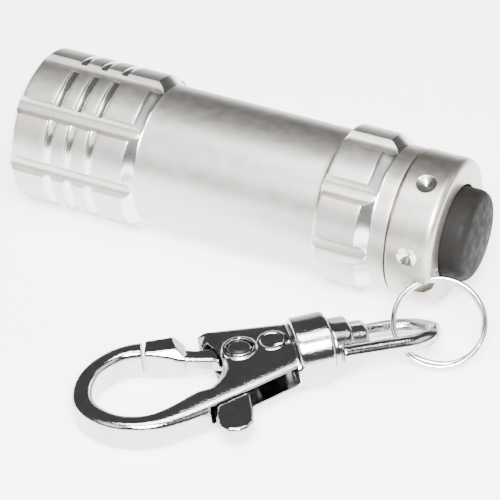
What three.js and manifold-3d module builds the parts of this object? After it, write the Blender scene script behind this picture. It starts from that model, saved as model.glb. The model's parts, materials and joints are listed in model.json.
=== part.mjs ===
// Keychain flashlight with a split ring and a swivelling trigger hook.
// Millimetres, +Z up.  The torch lies along X: lens towards -X, push button towards +X.
// The hook and the ring lie beside it on -Y, and everything rests on z = 0.
import * as THREE from 'three';
import Module from 'manifold-3d';

// ---- driving dimensions: torch -------------------------------------------------------------
const HEAD_R = 10.5;            // land radius of the fluted head
const HEAD_END = 17.0;          // where the head's rear chamfer starts
const BARREL_R = 9.5;
const BARREL_START = 18.3;
const COLLAR_R = 10.53;         // land radius of the fluted collar near the tail
const COLLAR_START = 44.2;
const COLLAR_END = 50.3;
const BODY_END = 54.0;          // rear face of the one-piece body
const FLUTES = 8;
const HEAD_FLUTE_R = 1.35;      // radius of the round cutter that makes a flute
const HEAD_FLUTE_CENTRE = 11.0;
const COLLAR_FLUTE_R = 1.65;
const COLLAR_FLUTE_CENTRE = 11.25;
const GROOVES = [5.85, 8.9, 11.97];   // centres of the three rings cut in the head's lands
const GROOVE_WIDTH = 1.2;
const GROOVE_DEPTH = 0.35;
const BORE_FRONT = 9.0;
const BORE_CELLS = 7.4;
const BORE_TAIL = 8.6;
const CELL_R = 5.8;             // LR44 button cell
const CELL_LENGTH = 5.4;
const CELL_PITCH = 5.65;
const CELLS_START = 24.0;
const CAP_START = 54.3;
const CAP_END = 60.3;
const CAP_R = 9.65;
const CAP_EDGE = 1.0;           // rounding of the cap's rear edge
const CAP_SPIGOT_R = 8.35;
const BUTTON_HOLE_R = 6.35;
const CAP_BORE = 7.25;
const DIMPLES = 6;
const DIMPLE_X = 57.25;
const DIMPLE_R = 1.35;
const BUTTON_R = 6.1;
const BUTTON_TOP = 63.95;
const AXIS_HEIGHT = 10.42;      // the torch's axis above the table

// ---- driving dimensions: split ring, swivel eye, hook ----------------------------------------
const TUNNEL_SIDE = new THREE.Vector3(58.2, -9.009, -3.458);
const TUNNEL_FACE = new THREE.Vector3(60.3, -7.561, -2.457);
const TUNNEL_R = 1.12;
const RING_CENTRE = new THREE.Vector3(62.7, -11.37, -6.17);
const RING_NORMAL = new THREE.Vector3(0.2513, -0.5588, 0.7903).normalize();
const RING_R = 5.82;
const RING_WIRE_R = 0.36;
const HOOK_YAW = 39.5;          // degrees, direction of the hook's axis on the table
const HOOK_PITCH = 5.1;         // degrees, the hook rests on its hoop and its round collar
const HOOK_CENTRE = new THREE.Vector3(50.31, -24.07, -5.72);
const HOOK_HALF_HEIGHT = 2.05;
const HOOK_COLLAR_R = 4.55;
const SLOT_HALF = 1.15;
const COLLAR_FACE = 2.0;        // distance along the swivel of the face it turns on
const PIVOT = [-8.5, 0.9];      // rivet of the gate, in the hook's plane
const RIVET_R = 1.5;
const SWIVEL_YAW = 43.8;        // the eye sits askew in the hook's loose hole, and sags a little
const SWIVEL_PITCH = -2.7;
const EYE_ROLL = 22;            // degrees, the eye has turned in its collar
const EYE_WIRE_R = 1.05;
const EYE_HALF = 3.85;

const RAD = Math.PI / 180;
const wasm = await Module();
wasm.setup();

// ---- solid helpers ---------------------------------------------------------------------------
function toManifold(geometry) {
  const plain = geometry.index ? geometry.toNonIndexed() : geometry;
  const at = plain.attributes.position;
  const seen = new Map();
  const points = [];
  const corners = [];
  for (let i = 0; i < at.count; i += 1) {
    const p = [at.getX(i), at.getY(i), at.getZ(i)].map((v) => Math.round(v * 1e5) / 1e5 + 0);
    const key = p.join(',');
    if (!seen.has(key)) {
      seen.set(key, points.length / 3);
      points.push(...p);
    }
    corners.push(seen.get(key));
  }
  const triangles = [];
  for (let i = 0; i < corners.length; i += 3) {
    const [a, b, c] = corners.slice(i, i + 3);
    if (a !== b && b !== c && c !== a) {
      triangles.push(a, b, c);
    }
  }
  const mesh = new wasm.Mesh({
    numProp: 3,
    vertProperties: new Float32Array(points),
    triVerts: new Uint32Array(triangles),
  });
  return new wasm.Manifold(mesh);
}

function toGeometry(solid) {
  const mesh = solid.getMesh();
  const geometry = new THREE.BufferGeometry();
  geometry.setAttribute('position', new THREE.BufferAttribute(new Float32Array(mesh.vertProperties), 3));
  geometry.setIndex(new THREE.BufferAttribute(new Uint32Array(mesh.triVerts), 1));
  return geometry;
}

function cut(geometry, cutters) {
  let solid = toManifold(geometry);
  for (const cutter of cutters) {
    solid = solid.subtract(toManifold(cutter));
  }
  return toGeometry(solid);
}

function join(geometry, others) {
  let solid = toManifold(geometry);
  for (const other of others) {
    solid = solid.add(toManifold(other));
  }
  return toGeometry(solid);
}

// A solid of revolution about X from a closed list of [x, radius].
function turned(profile, segments = 72) {
  const points = profile.map(([x, r]) => new THREE.Vector2(r, x));
  const first = profile[0];
  const last = profile[profile.length - 1];
  if (first[1] > 0 || last[1] > 0) {
    points.push(points[0].clone());
  }
  return new THREE.LatheGeometry(points, segments).rotateZ(-Math.PI / 2);
}

// A plain tube or disc about X.
function hollow(x0, x1, outer, inner = 0, segments = 36) {
  if (inner === 0) {
    return turned([[x0, 0], [x0, outer], [x1, outer], [x1, 0]], segments);
  }
  return turned([[x0, inner], [x0, outer], [x1, outer], [x1, inner]], segments);
}

// A rod between two points.
function rod(from, to, radius, segments = 24) {
  const along = to.clone().sub(from);
  const geometry = new THREE.CylinderGeometry(radius, radius, along.length(), segments);
  const turn = new THREE.Quaternion().setFromUnitVectors(
    new THREE.Vector3(0, 1, 0),
    along.clone().normalize(),
  );
  geometry.applyQuaternion(turn);
  const middle = from.clone().add(to).multiplyScalar(0.5);
  return geometry.translate(middle.x, middle.y, middle.z);
}

// A round wire swept along a curve.
function wire(curve, radius, steps, sides = 8) {
  const section = new THREE.Shape();
  section.absarc(0, 0, radius, 0, 2 * Math.PI, false);
  return new THREE.ExtrudeGeometry(section, {
    extrudePath: curve,
    steps,
    curveSegments: Math.ceil(sides / 2),
  });
}

// A helix about X: radius and x are given at both ends.
class Helix extends THREE.Curve {
  constructor(x0, x1, r0, r1, turns) {
    super();
    Object.assign(this, { x0, x1, r0, r1, turns });
  }
  getPoint(t, target = new THREE.Vector3()) {
    const angle = t * this.turns * 2 * Math.PI;
    const r = this.r0 + (this.r1 - this.r0) * t;
    const x = this.x0 + (this.x1 - this.x0) * t;
    return target.set(x, r * Math.cos(angle), r * Math.sin(angle));
  }
}

// A flat plate in the XY plane with rounded rims: rings of the outline, each moved inwards along
// the outline's normals and up along a quarter circle, closed by a lid on both sides.
function plate(points, half, rim = 0, steps = 3) {
  const outline = points.map(([x, y]) => new THREE.Vector2(x, y));
  if (THREE.ShapeUtils.isClockWise(outline)) {
    outline.reverse();
  }
  const count = outline.length;
  const inward = outline.map((p, i) => {
    const back = p.clone().sub(outline[(i + count - 1) % count]).normalize();
    const ahead = outline[(i + 1) % count].clone().sub(p).normalize();
    const normal = new THREE.Vector2(-back.y - ahead.y, back.x + ahead.x).normalize();
    const reach = Math.max(0.6, normal.dot(new THREE.Vector2(-ahead.y, ahead.x)));
    return normal.divideScalar(reach);
  });
  const levels = [];
  for (let i = steps; i >= 0 && rim > 0; i -= 1) {
    const angle = (i * Math.PI) / (2 * steps);
    levels.push([-half + rim * (1 - Math.sin(angle)), rim * (1 - Math.cos(angle))]);
  }
  levels.push(...(rim > 0 ? levels.map(([z, inset]) => [-z, inset]).reverse() : [[-half, 0], [half, 0]]));
  const position = [];
  for (const [z, inset] of levels) {
    outline.forEach((p, i) => {
      position.push(p.x + inward[i].x * inset, p.y + inward[i].y * inset, z);
    });
  }
  const index = [];
  for (let ring = 0; ring < levels.length - 1; ring += 1) {
    for (let i = 0; i < count; i += 1) {
      const a = ring * count + i;
      const b = ring * count + ((i + 1) % count);
      index.push(a, b, b + count, a, b + count, a + count);
    }
  }
  const top = (levels.length - 1) * count;
  for (const [i, j, k] of THREE.ShapeUtils.triangulateShape(outline, [])) {
    index.push(i, k, j, top + i, top + j, top + k);
  }
  const geometry = new THREE.BufferGeometry();
  geometry.setAttribute('position', new THREE.Float32BufferAttribute(position, 3));
  geometry.setIndex(index);
  return geometry;
}

function smooth(points, count) {
  const curve = new THREE.SplineCurve(points.map(([x, y]) => new THREE.Vector2(x, y)));
  return curve.getPoints(count).map((p) => [p.x, p.y]);
}

// ---- torch body --------------------------------------------------------------------------------
function fluteCutters(x0, x1, radius, centre) {
  const cutters = [];
  for (let i = 0; i < FLUTES; i += 1) {
    const angle = (i * 2 * Math.PI) / FLUTES;
    const y = centre * Math.sin(angle);
    const z = centre * Math.cos(angle);
    cutters.push(rod(new THREE.Vector3(x0, y, z), new THREE.Vector3(x1, y, z), radius, 18));
  }
  return cutters;
}

function bodyShell() {
  const profile = [
    [0, BORE_FRONT],
    [0, HEAD_R - 0.7],
    [0.7, HEAD_R],
  ];
  for (const centre of GROOVES) {
    const half = GROOVE_WIDTH / 2;
    profile.push([centre - half, HEAD_R]);
    profile.push([centre - half + 0.25, HEAD_R - GROOVE_DEPTH]);
    profile.push([centre + half - 0.25, HEAD_R - GROOVE_DEPTH]);
    profile.push([centre + half, HEAD_R]);
  }
  profile.push(
    [HEAD_END, HEAD_R],
    [BARREL_START, BARREL_R],
    [COLLAR_START, BARREL_R],
    [COLLAR_START + 0.6, COLLAR_R],
    [COLLAR_END, COLLAR_R],
    [COLLAR_END + 1.5, BARREL_R],
    [BODY_END, BARREL_R],
    [BODY_END, BORE_TAIL],
    [46.9, BORE_TAIL],
    [46.9, BORE_CELLS],
    [15.5, BORE_CELLS],
    [15.5, BORE_FRONT],
  );
  const head = fluteCutters(-2, BARREL_START + 1, HEAD_FLUTE_R, HEAD_FLUTE_CENTRE);
  const collar = fluteCutters(COLLAR_START - 1, COLLAR_END + 3, COLLAR_FLUTE_R, COLLAR_FLUTE_CENTRE);
  return cut(turned(profile, 80), [...head, ...collar]);
}

// ---- inside the head ---------------------------------------------------------------------------
function frontRing() {
  const ring = turned([[0.4, 7.9], [0.4, 8.7], [1.9, 8.7], [1.9, 7.6], [1.1, 7.6]], 40);
  const notch = (angle) => {
    const box = new THREE.BoxGeometry(1.2, 1.6, 3);
    return box.translate(0.5, 0, 8.3).rotateX(angle);
  };
  return cut(ring, [notch(0), notch(Math.PI)]);
}

function lens() {
  return turned([[2.1, 0], [2.1, 8.5], [2.3, 8.7], [3.3, 8.7], [3.5, 8.5], [3.5, 0]], 40);
}

function torus(x, ring, section, segments = 36, sides = 6) {
  return new THREE.TorusGeometry(ring, section, sides, segments).rotateY(Math.PI / 2).translate(x, 0, 0);
}

function reflector() {
  // The cup opens towards -X; its inner wall is r = 2 sqrt(f (x0 - x)).
  const wall = 0.7;
  const inner = [];
  const outer = [];
  const floorR = 2.4;
  const mouthR = 7.9;
  for (let i = 0; i <= 6; i += 1) {
    const r = floorR + ((mouthR - floorR) * i) / 6;
    const x = 12.9 - (8.1 * (r * r - floorR * floorR)) / (mouthR * mouthR - floorR * floorR);
    inner.push([x, r]);
    outer.push([Math.min(x + 0.35, 13.0), Math.min(r + wall, 8.7)]);
  }
  const flange = [[4.8, 8.7], [5.7, 8.7]];
  const back = outer.reverse().filter(([x, r]) => x > 5.8 && r < 8.4);
  return turned([...inner, ...flange, [5.7, 8.5], ...back], 32);
}

function led() {
  const dome = [];
  for (let i = 0; i <= 6; i += 1) {
    const a = (i * Math.PI) / 12;
    dome.push([13.1 - 1.3 * Math.cos(a), 1.3 * Math.sin(a)]);
  }
  return turned([...dome, [13.1, 2.0], [13.7, 2.0], [13.7, 0]], 32);
}

function spiral(x0, x1, r0, r1, turns, radius) {
  return wire(new Helix(x0, x1, r0, r1, turns), radius, Math.round(turns * 13), 6);
}

// ---- cells and sleeve --------------------------------------------------------------------------
function cell(index) {
  const x0 = CELLS_START + index * CELL_PITCH;
  const x1 = x0 + CELL_LENGTH;
  return turned(
    [[x0, 0], [x0, 4.6], [x0 + 0.5, 5.1], [x0 + 0.5, 5.6], [x0 + 0.8, CELL_R], [x1 - 0.3, CELL_R],
      [x1, CELL_R - 0.3], [x1, 0]],
    28,
  );
}

// ---- tail cap, switch and button ---------------------------------------------------------------
function tailCap() {
  const profile = [
    [47.5, CAP_BORE],
    [47.5, CAP_SPIGOT_R - 0.3],
    [47.8, CAP_SPIGOT_R],
    [52.5, CAP_SPIGOT_R],
    [52.5, 7.9],
    [53.5, 7.9],
    [53.5, CAP_SPIGOT_R],
    [CAP_START, CAP_SPIGOT_R],
    [CAP_START, CAP_R - 0.25],
    [CAP_START + 0.25, CAP_R],
  ];
  for (let i = 0; i <= 5; i += 1) {
    const a = (i * Math.PI) / 10;
    profile.push([
      CAP_END - CAP_EDGE + CAP_EDGE * Math.sin(a),
      CAP_R - CAP_EDGE + CAP_EDGE * Math.cos(a),
    ]);
  }
  profile.push([CAP_END, BUTTON_HOLE_R], [58.0, BUTTON_HOLE_R], [58.0, CAP_BORE]);
  const cutters = [];
  for (let i = 0; i < DIMPLES; i += 1) {
    const cone = new THREE.ConeGeometry(DIMPLE_R * 2, 1.3, 18);
    cone.rotateX(-Math.PI / 2).translate(DIMPLE_X, 0, CAP_R);
    cone.rotateX((22.5 + i * 60) * RAD);
    cutters.push(cone);
  }
  const along = TUNNEL_FACE.clone().sub(TUNNEL_SIDE).normalize();
  const from = TUNNEL_SIDE.clone().addScaledVector(along, -3);
  const to = TUNNEL_FACE.clone().addScaledVector(along, 2.5);
  cutters.push(rod(from, to, TUNNEL_R, 18));
  return cut(turned(profile, 64), cutters);
}

function switchHousing() {
  return turned([[49, 0], [49, 6.7], [49.3, 7.0], [54.6, 7.0], [54.6, 5.2], [50.5, 5.2], [50.5, 0]], 48);
}

function plunger() {
  return turned([[51.9, 0], [51.9, 1.6], [52.2, 1.9], [55.6, 1.9], [55.6, 4.2], [56.6, 4.2], [56.6, 0]], 40);
}

function button() {
  const profile = [[56.9, 0], [56.9, 6.95], [57.75, 6.95], [57.75, BUTTON_R], [62.1, BUTTON_R]];
  const crown = 0.55;
  const edge = 1.3;
  for (let i = 1; i <= 6; i += 1) {
    const a = (i * 75 * RAD) / 6;
    profile.push([62.1 + edge * Math.sin(a), BUTTON_R - edge + edge * Math.cos(a)]);
  }
  profile.push([BUTTON_TOP - crown * 0.35, 3.2], [BUTTON_TOP - crown * 0.08, 1.6], [BUTTON_TOP, 0]);
  return turned(profile, 40);
}

// ---- split ring --------------------------------------------------------------------------------
class SplitRing extends THREE.Curve {
  getPoint(t, target = new THREE.Vector3()) {
    const turns = 1.93;
    const angle = (t * turns + 0.04) * 2 * Math.PI;
    const ramp = Math.min(1, Math.max(0, (t * turns - 0.74) / 0.22));
    const lift = RING_WIRE_R * 2.08 * (ramp * ramp * (3 - 2 * ramp)) - RING_WIRE_R * 1.04;
    return target.set(RING_R * Math.cos(angle), RING_R * Math.sin(angle), lift);
  }
}

function splitRing() {
  const geometry = wire(new SplitRing(), RING_WIRE_R, 84, 8);
  const turn = new THREE.Quaternion().setFromUnitVectors(new THREE.Vector3(0, 0, 1), RING_NORMAL);
  return geometry.applyQuaternion(turn).translate(RING_CENTRE.x, RING_CENTRE.y, RING_CENTRE.z);
}

// ---- swivel eye: along local X, its loop in the local XY plane ------------------------------------
function swivelEye() {
  const base = turned(
    [[-3.4, 0], [-3.4, 1.1], [-3.2, 1.3], [-2.5, 1.3], [-2.5, 0.85],
      [COLLAR_FACE + 0.3, 0.85], [COLLAR_FACE + 0.3, 3.3], [COLLAR_FACE + 0.6, 3.63],
      [4.7, 3.63], [5.1, 3.3], [5.1, 2.5], [5.4, 2.8], [7.0, 2.8], [7.4, 2.4], [7.4, 0]],
    32,
  );
  const half = [[3.4, EYE_HALF], [6, EYE_HALF], [9.5, 3.95], [12.8, 3.95], [15.3, 2.7], [16.6, 0.5]];
  const path = [...half, ...half.slice().reverse().map(([x, y]) => [x, -y])];
  const curve = new THREE.CatmullRomCurve3(path.map(([x, y]) => new THREE.Vector3(x, y, 0)));
  const loop = wire(curve, EYE_WIRE_R, 30, 10);
  return join(base, [loop.rotateX(-EYE_ROLL * RAD)]);
}

// ---- hook body, gate, rivet: in the hook's plane, swivel towards +X --------------------------------
function hookBody() {
  const outer = smooth(
    [[-19.6, 6.9], [-21.8, 7.05], [-24.2, 6.6], [-26.8, 5.2], [-28.9, 3.0], [-30.1, 0.3], [-30.3, -2.4],
      [-29.3, -5.1], [-27.1, -7.6], [-24.3, -9.1], [-21.2, -9.55], [-18, -9.15], [-14, -8.2]],
    30,
  );
  const inner = smooth(
    [[-12.9, 4.4], [-12.2, 2.6], [-11.9, 0.9], [-12, -0.8], [-12.8, -2.4], [-14.2, -3.8], [-16.5, -5.2],
      [-19.4, -6.5], [-22, -7.0], [-24.7, -6.2], [-26.6, -4.4], [-27.6, -2.2],
      [-27.4, 0.2], [-26.3, 2.5], [-24.3, 4.0], [-22.2, 4.6], [-20.3, 4.3]],
    40,
  );
  const outline = [[-0.8, -4.2], [-0.8, 4.1], [-11.6, 6.05], [-12.9, 5.6], ...inner, ...outer, [-8, -6.5]];
  const casting = plate(outline, HOOK_HALF_HEIGHT, 0.9, 2);
  const collar = turned(
    [[-1.9, 0], [-1.9, 4.2], [-1.5, HOOK_COLLAR_R], [2.9, HOOK_COLLAR_R], [2.9, 0]],
    56,
  );
  // The face that the swivel turns on is square to the swivel, which sits askew to the hook.
  const along = new THREE.Vector3(1, 0, 0);
  along.applyEuler(new THREE.Euler(0, -SWIVEL_PITCH * RAD, SWIVEL_YAW * RAD, 'ZYX'));
  const hookTurn = new THREE.Euler(0, -HOOK_PITCH * RAD, HOOK_YAW * RAD, 'ZYX');
  along.applyQuaternion(new THREE.Quaternion().setFromEuler(hookTurn).invert());
  const beyond = rod(
    along.clone().multiplyScalar(COLLAR_FACE),
    along.clone().multiplyScalar(COLLAR_FACE + 4),
    7,
    24,
  );
  const boss = (side) => {
    const disc = new THREE.CylinderGeometry(2.15, 2.2, 0.5, 32);
    return disc.rotateX((side * Math.PI) / 2).translate(PIVOT[0], PIVOT[1], side * HOOK_HALF_HEIGHT);
  };
  const slot = plate(
    [[-14.9, -12], [-2.4, -12], [-2.4, 1.6], [-5.2, 3.6], [-8, 4.1], [-13.5, 4.4], [-17, 4.4], [-17, -1],
      [-12.3, -3.4], [-14.3, -7]],
    SLOT_HALF,
  );
  const bore = new THREE.CylinderGeometry(RIVET_R + 0.22, RIVET_R + 0.22, 8, 32);
  bore.rotateX(Math.PI / 2).translate(PIVOT[0], PIVOT[1], 0);
  const swivelHole = hollow(-3, 3, 1.25, 0, 32);
  const pocket = hollow(-4.2, -1.95, 1.9, 0, 24);
  const solid = join(casting, [collar, boss(1), boss(-1)]);
  return cut(solid, [slot, bore, swivelHole, pocket, beyond]);
}

function gate() {
  const arm = plate(
    [[-16.5, 2.9], [-12, 1.2], [-11.1, 0.5], [-11.2, -1.4], [-13.7, -7.5], [-14.1, -10.5], [-13.6, -11.9],
      [-12.5, -12.6], [-11.0, -12.5], [-9.9, -11.6], [-9.4, -9.6], [-9.0, -6.5], [-7.2, -1.3],
      [-6.2, 0.4], [-6.6, 2.4], [-8.3, 3.3], [-11, 3.6], [-13.4, 3.9], [-16.5, 5.4]],
    0.95,
    0.25,
    2,
  );
  const nose = plate(
    [[-19.35, 4.4], [-18.6, 3.7], [-15.4, 2.5], [-14.6, 3.4], [-14.4, 5.4], [-15.2, 6.35], [-18.6, 6.7],
      [-19.15, 6.2]],
    1.95,
    0.45,
    2,
  );
  const paddle = plate(
    [[-14.1, -9.4], [-14.0, -11.2], [-13.3, -12.3], [-12.0, -12.8], [-10.8, -12.5], [-9.9, -11.5],
      [-9.5, -9.4], [-10.2, -8.9], [-13.4, -8.9]],
    1.15,
    0.4,
    2,
  );
  const bore = new THREE.CylinderGeometry(RIVET_R + 0.22, RIVET_R + 0.22, 8, 32);
  bore.rotateX(Math.PI / 2).translate(PIVOT[0], PIVOT[1], 0);
  const recess = new THREE.CylinderGeometry(2.75, 2.75, 1.2, 32);
  recess.rotateX(Math.PI / 2).translate(PIVOT[0], PIVOT[1], 0.62);
  return cut(join(arm, [nose, paddle]), [bore, recess]);
}

function rivet() {
  const end = HOOK_HALF_HEIGHT + 0.12;
  const profile = [[-end, 0], [-end, 1.3], [0.2 - end, RIVET_R], [end - 0.2, RIVET_R], [end, 1.3], [end, 0]];
  return turned(profile, 32).rotateY(-Math.PI / 2).translate(PIVOT[0], PIVOT[1], 0);
}

function gateSpring() {
  // Two coils about the rivet, one leg against the hook's wall and one along the lever.
  const points = [];
  points.push(new THREE.Vector3(-3.1, 1.3, 0.28));
  points.push(new THREE.Vector3(-5.0, 2.6, 0.28));
  for (let i = 0; i <= 20; i += 1) {
    const angle = (70 + (i * 610) / 20) * RAD;
    const h = 0.28 + (i * 0.54) / 20;
    points.push(new THREE.Vector3(PIVOT[0] + 2.2 * Math.cos(angle), PIVOT[1] + 2.2 * Math.sin(angle), h));
  }
  points.push(new THREE.Vector3(-7.2, -2.4, 0.82));
  const curve = new THREE.CatmullRomCurve3(points, false, 'centripetal');
  return wire(curve, 0.13, 72, 6);
}

// ---- materials and assembly --------------------------------------------------------------------
function material(colour, roughness, metalness) {
  return new THREE.MeshStandardMaterial({ color: new THREE.Color(colour), roughness, metalness });
}

function add(group, name, geometry, look) {
  const mesh = new THREE.Mesh(geometry, look);
  mesh.name = name;
  group.add(mesh);
}

const aluminium = () => material('#c9c2b8', 0.38, 1.0);
const chrome = () => material('#d6d6d6', 0.12, 1.0);
const brass = () => material('#c9a75a', 0.3, 1.0);
const black = () => material('#141312', 0.75, 0.0);

const torch = new THREE.Group();
add(torch, 'torch_body', bodyShell(), aluminium());
add(torch, 'front_ring', frontRing(), aluminium());
add(torch, 'lens', lens(), material('#eef2f4', 0.05, 0.0));
add(torch, 'lens_oring', torus(4.1, 8.25, 0.35), black());
add(torch, 'reflector', reflector(), material('#e6e6e6', 0.08, 1.0));
add(torch, 'led', led(), material('#f2ecc8', 0.25, 0.0));
add(torch, 'led_board', hollow(14.0, 15.2, 8.6), material('#dcdcd6', 0.5, 0.2));
add(torch, 'driver_board', hollow(16.0, 17.4, 7.0), material('#1d5b3a', 0.55, 0.0));
add(torch, 'front_contact_spring', spiral(17.9, 23.4, 3.6, 2.2, 4, 0.28), brass());
add(torch, 'battery_sleeve', hollow(22.0, 46.4, 7.1, 6.15), material('#e4e2dc', 0.6, 0.0));
for (let i = 0; i < 4; i += 1) {
  add(torch, `cell_${i + 1}`, cell(i), material('#c7c8c6', 0.3, 1.0));
}
add(torch, 'tail_cap', tailCap(), material('#c2b9ac', 0.4, 1.0));
add(torch, 'cap_oring', torus(53.0, 8.2, 0.21), black());
add(torch, 'switch_housing', switchHousing(), material('#22211f', 0.6, 0.0));
add(torch, 'switch_plunger', plunger(), material('#d9d7d0', 0.5, 0.0));
add(torch, 'switch_spring', spiral(50.85, 55.25, 2.9, 2.9, 5, 0.24), chrome());
add(torch, 'switch_retainer', hollow(54.85, 55.35, 7.05, 4.6), brass());
add(torch, 'tail_contact_spring', spiral(47.0, 48.6, 2.4, 4.2, 2, 0.26), brass());
add(torch, 'push_button', button(), black());
add(torch, 'split_ring', splitRing(), chrome());

const swivel = new THREE.Group();
swivel.position.copy(HOOK_CENTRE);
swivel.rotation.set(0, -SWIVEL_PITCH * RAD, SWIVEL_YAW * RAD, 'ZYX');
add(swivel, 'swivel_eye', swivelEye(), chrome());

const hook = new THREE.Group();
hook.position.copy(HOOK_CENTRE);
hook.rotation.set(0, -HOOK_PITCH * RAD, HOOK_YAW * RAD, 'ZYX');
add(hook, 'hook_body', hookBody(), chrome());
add(hook, 'hook_gate', gate(), chrome());
add(hook, 'gate_rivet', rivet(), chrome());
add(hook, 'gate_spring', gateSpring(), material('#b9b6b0', 0.25, 1.0));

const assembly = new THREE.Group();
assembly.add(torch, swivel, hook);

// The origin is the middle of the footprint, on the table.
assembly.updateMatrixWorld(true);
const box = new THREE.Box3().setFromObject(assembly, true);
const middle = box.getCenter(new THREE.Vector3());
assembly.position.set(-middle.x, -middle.y, -box.min.z);

const keyTorch = new THREE.Group();
keyTorch.name = 'keychain_torch';
keyTorch.add(assembly);

export default keyTorch;
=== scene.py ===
# %% [markdown]
# # A key-ring torch, its split ring and its key hook
# Each surface here is worked out with numpy in millimetres and handed to Blender in metres.
# Two ways of making a surface are used. A turned part is a profile swept round the torch's axis.
# A cast part is a distance field, negative inside the metal, whose zero surface is found on a grid.

# %% Load the frame
import json
import math
import bpy
import numpy as np
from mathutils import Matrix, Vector


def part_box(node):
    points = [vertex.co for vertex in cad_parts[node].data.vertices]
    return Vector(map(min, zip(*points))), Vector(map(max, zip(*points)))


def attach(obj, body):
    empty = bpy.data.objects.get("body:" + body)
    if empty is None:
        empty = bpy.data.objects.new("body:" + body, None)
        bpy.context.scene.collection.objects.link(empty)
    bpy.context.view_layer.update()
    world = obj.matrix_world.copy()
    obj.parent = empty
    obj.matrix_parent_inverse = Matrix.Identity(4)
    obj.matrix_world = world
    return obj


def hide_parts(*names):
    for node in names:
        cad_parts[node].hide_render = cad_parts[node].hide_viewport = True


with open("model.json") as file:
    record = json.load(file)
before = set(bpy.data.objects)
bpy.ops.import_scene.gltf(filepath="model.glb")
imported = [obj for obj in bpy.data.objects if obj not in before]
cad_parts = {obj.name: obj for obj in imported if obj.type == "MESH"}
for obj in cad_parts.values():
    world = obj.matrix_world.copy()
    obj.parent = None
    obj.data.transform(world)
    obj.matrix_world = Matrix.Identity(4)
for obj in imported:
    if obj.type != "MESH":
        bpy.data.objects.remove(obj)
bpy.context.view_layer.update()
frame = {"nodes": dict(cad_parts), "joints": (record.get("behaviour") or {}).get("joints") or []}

joints = {j["name"]: j for j in frame["joints"]}
MM = 0.001

# %% [markdown]
# ## Places
# The torch's axis runs through the middle of the body's box. The hook's own axes come from its
# joints: the gate's pivot gives the direction square to the hook's plane, and the swivel's axis
# gives the direction of the eye.

# %% Places from the frame
low, high = (np.array(v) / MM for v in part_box("torch_body"))
AXIS = np.array([low[0], (low[1] + high[1]) / 2, (low[2] + high[2]) / 2])


def vector(values):
    """A unit vector along values."""
    v = np.array(values, float)
    return v / np.linalg.norm(v)


PIVOT_A, PIVOT_B = -8.5, 0.9
HOOK_O = np.array(joints["hook_spin"]["pos_m"]) / MM
HOOK_UP = vector(joints["gate_open"]["axis"])
pivot = np.array(joints["gate_open"]["pos_m"]) / MM
back = HOOK_O - pivot
HOOK_A = vector(-PIVOT_A * back + PIVOT_B * np.cross(HOOK_UP, back))
HOOK_B = np.cross(HOOK_UP, HOOK_A)
EYE_S = vector(joints["hook_spin"]["axis"])
EYE_ROLL = math.radians(22)
side = vector([-EYE_S[1], EYE_S[0], 0])
up = np.cross(EYE_S, side)
EYE_U = math.cos(EYE_ROLL) * side - math.sin(EYE_ROLL) * up
EYE_V = np.cross(EYE_S, EYE_U)
RING_R, RING_WIRE = 5.82, 0.36
RING_N = vector([0.2513, -0.5588, 0.7903])
tangent = vector(joints["eye_swing"]["axis"])
RING_O = np.array(joints["eye_swing"]["pos_m"]) / MM - RING_R * vector(np.cross(tangent, RING_N))
print("hook axis", HOOK_A.round(3), "ring centre", RING_O.round(2))

# %% [markdown]
# ## Materials
# Every metal here shares two node groups: one makes fine grain as a bump, one makes slow
# variation of tone. Both work on object coordinates in metres.

# %% Shared node groups
def new_group(name, inputs, outputs):
    """An empty node group with float inputs (name, value) and outputs (name, type)."""
    tree = bpy.data.node_groups.new(name, "ShaderNodeTree")
    for label, value in inputs:
        s = tree.interface.new_socket(label, in_out="INPUT", socket_type="NodeSocketFloat")
        s.default_value = value
    for label, kind in outputs:
        tree.interface.new_socket(label, in_out="OUTPUT", socket_type=kind)
    tree.nodes.new("NodeGroupInput")
    tree.nodes.new("NodeGroupOutput")
    return tree


def nodes_of(tree):
    """The group's input and output nodes."""
    return tree.nodes["Group Input"], tree.nodes["Group Output"]


grain = new_group(
    "surface grain",
    [("Scale", 4000.0), ("Strength", 0.2), ("Distance", 0.00003)],
    [("Normal", "NodeSocketVector")],
)
g_in, g_out = nodes_of(grain)
coords = grain.nodes.new("ShaderNodeTexCoord")
noise = grain.nodes.new("ShaderNodeTexNoise")
noise.inputs["Detail"].default_value = 3.0
bump = grain.nodes.new("ShaderNodeBump")
grain.links.new(coords.outputs["Object"], noise.inputs["Vector"])
grain.links.new(g_in.outputs["Scale"], noise.inputs["Scale"])
grain.links.new(noise.outputs["Fac"], bump.inputs["Height"])
grain.links.new(g_in.outputs["Strength"], bump.inputs["Strength"])
grain.links.new(g_in.outputs["Distance"], bump.inputs["Distance"])
grain.links.new(bump.outputs["Normal"], g_out.inputs["Normal"])

mottle = new_group(
    "slow mottle",
    [("Scale", 300.0), ("Low", 0.9), ("High", 1.1)],
    [("Value", "NodeSocketFloat")],
)
g_in, g_out = nodes_of(mottle)
coords = mottle.nodes.new("ShaderNodeTexCoord")
noise = mottle.nodes.new("ShaderNodeTexNoise")
noise.inputs["Detail"].default_value = 4.0
spread = mottle.nodes.new("ShaderNodeMapRange")
spread.inputs["From Min"].default_value = 0.3
spread.inputs["From Max"].default_value = 0.7
mottle.links.new(coords.outputs["Object"], noise.inputs["Vector"])
mottle.links.new(g_in.outputs["Scale"], noise.inputs["Scale"])
mottle.links.new(noise.outputs["Fac"], spread.inputs["Value"])
mottle.links.new(g_in.outputs["Low"], spread.inputs["To Min"])
mottle.links.new(g_in.outputs["High"], spread.inputs["To Max"])
mottle.links.new(spread.outputs["Result"], g_out.inputs["Value"])
print("node groups:", [t.name for t in bpy.data.node_groups])


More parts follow.
